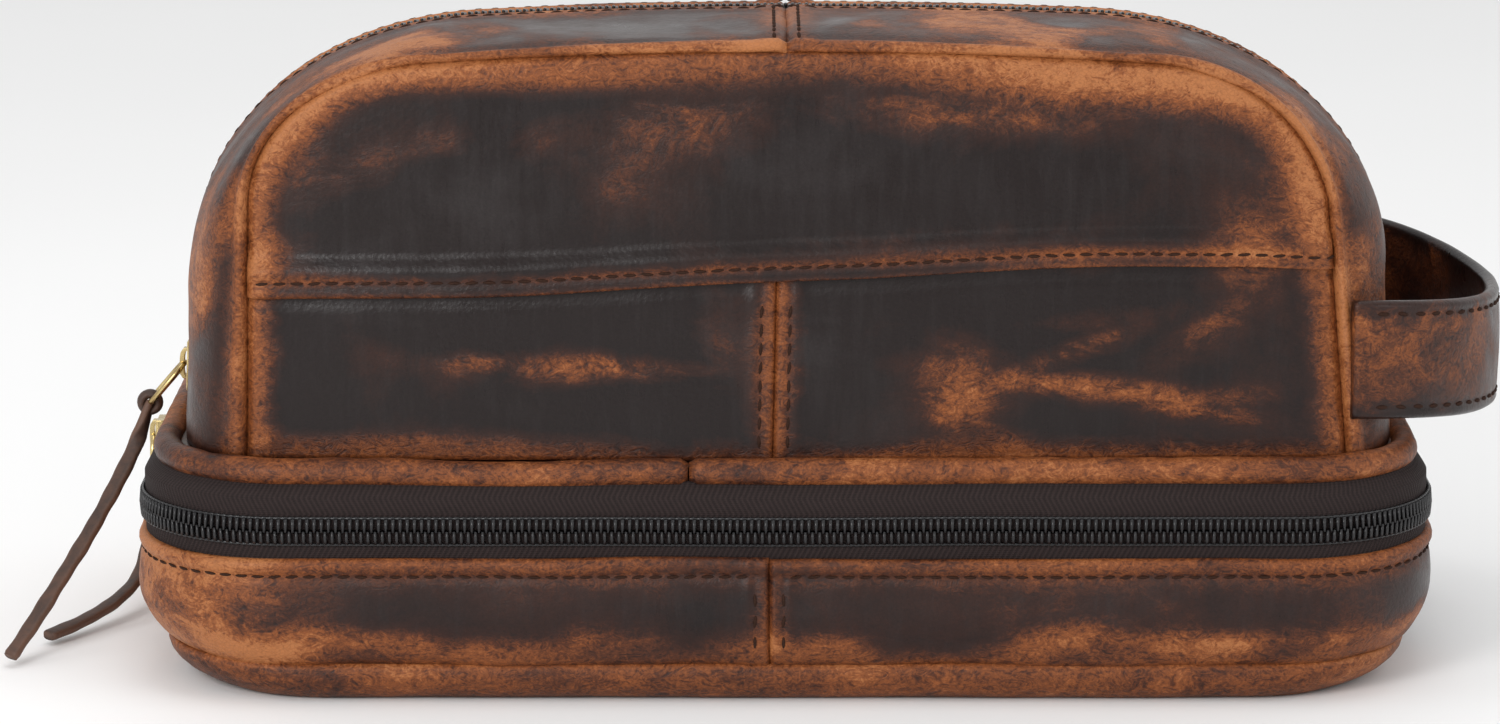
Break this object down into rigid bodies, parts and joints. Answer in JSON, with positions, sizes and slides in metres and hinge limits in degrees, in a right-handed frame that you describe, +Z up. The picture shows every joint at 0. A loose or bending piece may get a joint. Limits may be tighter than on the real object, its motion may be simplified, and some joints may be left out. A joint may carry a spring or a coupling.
{
  "type": "zipped leather shaving kit bag",
  "caption": "Leather toiletry bag with a top zip and a wrist strap, standing on a shallow zipped tray that the bag tips back from on a leather hinge.",
  "frame": {"origin": "middle of the base's underside, on the surface the bag stands on", "axes": "+X to the bag's right, where the wrist strap is, +Y to the back, where the tray's hinge is, +Z up"},
  "size_m": [0.3137, 0.1342, 0.1354],
  "materials": {
    "tan_leather": "waxed pull-up leather, orange brown, satin",
    "dark_leather": "waxed pull-up leather, dark brown, satin",
    "lace_leather": "raw edge leather thong, dark brown",
    "lining_cloth": "plain woven cotton",
    "stiffener": "fibre board",
    "zip_tape": "herringbone polyester tape",
    "zip_coil": "moulded nylon coil",
    "brass_fittings": "polished brass"
  },
  "bodies": {
    "tray": {"base_panel": "tan_leather", "base_board": "stiffener", "tray_lining": "lining_cloth", "tray_wall_left": "tan_leather", "tray_wall_right": "tan_leather", "tray_zip_tape": "zip_tape", "tray_zip_coil": "zip_coil", "hinge_strip_lower": "dark_leather", "tray_stop_left": "brass_fittings", "tray_stop_right": "brass_fittings"},
    "bag": {"hinge_strip_upper": "dark_leather", "lid_zip_tape": "zip_tape", "lid_zip_coil": "zip_coil", "piping": "tan_leather", "lid_floor": "dark_leather", "lid_lining": "lining_cloth", "floor_board": "stiffener", "floor_lining": "lining_cloth", "back_upper_panel": "dark_leather", "back_lower_left_panel": "dark_leather", "back_lower_right_panel": "dark_leather", "rear_gusset_left": "tan_leather", "rear_gusset_right": "tan_leather", "rear_lining": "lining_cloth", "rear_zip_tape": "zip_tape", "rear_zip_coil": "zip_coil", "top_stop_left": "brass_fittings", "top_stop_right": "brass_fittings", "handle_rear_half": "tan_leather"},
    "mouth": {"front_upper_panel": "dark_leather", "front_lower_left_panel": "dark_leather", "front_lower_right_panel": "dark_leather", "front_gusset_left": "tan_leather", "front_gusset_right": "tan_leather", "front_lining": "lining_cloth", "front_zip_tape": "zip_tape", "front_zip_coil": "zip_coil", "handle_front_half": "tan_leather"},
    "top_slider_body": {"top_slider": "brass_fittings"},
    "top_ring_body": {"top_pull_ring": "brass_fittings"},
    "top_lace_body": {"top_lace": "lace_leather"},
    "tray_slider_body": {"tray_slider": "brass_fittings"},
    "tray_ring_body": {"tray_pull_ring": "brass_fittings"},
    "tray_lace_body": {"tray_lace": "lace_leather"}
  },
  "joints": [
    {"name": "lid_hinge", "type": "hinge", "parent": "tray", "child": "bag", "pos_m": [0, 0.0666, 0.0363], "axis": [-1, 0, 0], "range_deg": [0, 95]},
    {"name": "mouth_open", "type": "hinge", "parent": "bag", "child": "mouth", "pos_m": [0, -0.0565, 0.049], "axis": [1, 0, 0], "range_deg": [0, 28]},
    {"name": "top_slider_run", "type": "slide", "parent": "bag", "child": "top_slider_body", "axis": [0.0486, 0, 0.9988], "range_m": [0, 0.027]},
    {"name": "top_ring_swing", "type": "hinge", "parent": "top_slider_body", "child": "top_ring_body", "pos_m": [-0.12795, 0, 0.05739], "axis": [0, 1, 0], "range_deg": [0, 100]},
    {"name": "top_lace_swing", "type": "hinge", "parent": "top_ring_body", "child": "top_lace_body", "pos_m": [-0.13539, 0, 0.04876], "axis": [0, 1, 0], "range_deg": [0, 80]},
    {"name": "tray_slider_run", "type": "slide", "parent": "tray", "child": "tray_slider_body", "axis": [0, -1, 0], "range_m": [0, 0.048]},
    {"name": "tray_ring_swing", "type": "hinge", "parent": "tray_slider_body", "child": "tray_ring_body", "pos_m": [-0.13735, 0.024, 0.0363], "axis": [0, 1, 0], "range_deg": [0, 100]},
    {"name": "tray_lace_swing", "type": "hinge", "parent": "tray_ring_body", "child": "tray_lace_body", "pos_m": [-0.13735, 0.024, 0.0249], "axis": [0, 1, 0], "range_deg": [0, 80]}
  ]
}
